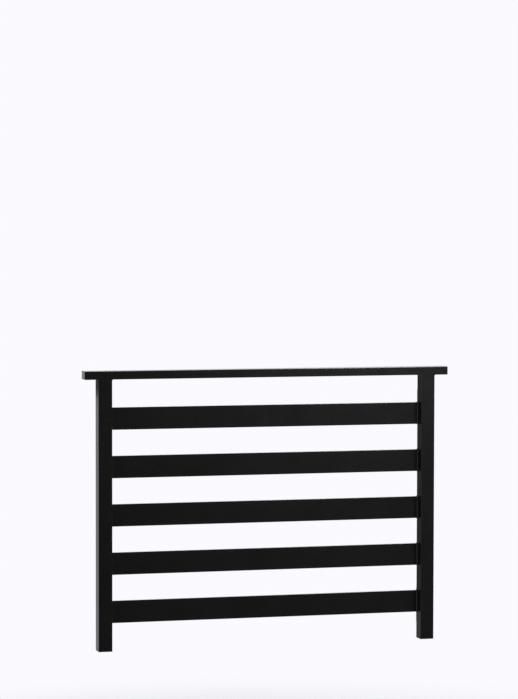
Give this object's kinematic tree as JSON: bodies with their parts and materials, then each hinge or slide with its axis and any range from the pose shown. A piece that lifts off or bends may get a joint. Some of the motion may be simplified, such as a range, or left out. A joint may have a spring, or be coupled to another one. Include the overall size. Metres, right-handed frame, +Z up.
{
  "type": "juliet balcony",
  "caption": "Juliet balcony: black steel guard for a floor-length window, with a flat-topped handrail, square posts and wide flat rails, hung on concealed wall brackets.",
  "frame": {"origin": "middle of the wall face of the lower left wall bracket", "axes": "+X to the right along the wall, +Y into the wall, +Z up. The guard stands out from the wall towards -Y."},
  "size_m": [1.355, 0.066, 1],
  "materials": {
    "black_paint": "fine-textured satin powder coat on steel",
    "cap_plastic": "moulded, matte",
    "zinc_steel": "zinc-plated, dull"
  },
  "bodies": {
    "root": {"handrail": "black_paint", "handrail_end_left": "black_paint", "handrail_end_right": "black_paint", "post_left": "black_paint", "post_right": "black_paint", "foot_cap_left": "cap_plastic", "foot_cap_right": "cap_plastic", "rail_1": "black_paint", "rail_2": "black_paint", "rail_3": "black_paint", "rail_4": "black_paint", "rail_5": "black_paint", "wall_bracket_lower_left": "zinc_steel", "wall_bracket_lower_right": "zinc_steel", "wall_bracket_upper_left": "zinc_steel", "wall_bracket_upper_right": "zinc_steel", "spacer_ring_lower_left": "zinc_steel", "spacer_ring_lower_right": "zinc_steel", "spacer_ring_upper_left": "zinc_steel", "spacer_ring_upper_right": "zinc_steel", "hanging_bolt_lower_left": "zinc_steel", "hanging_bolt_lower_right": "zinc_steel", "hanging_bolt_upper_left": "zinc_steel", "hanging_bolt_upper_right": "zinc_steel"}
  },
  "joints": []
}
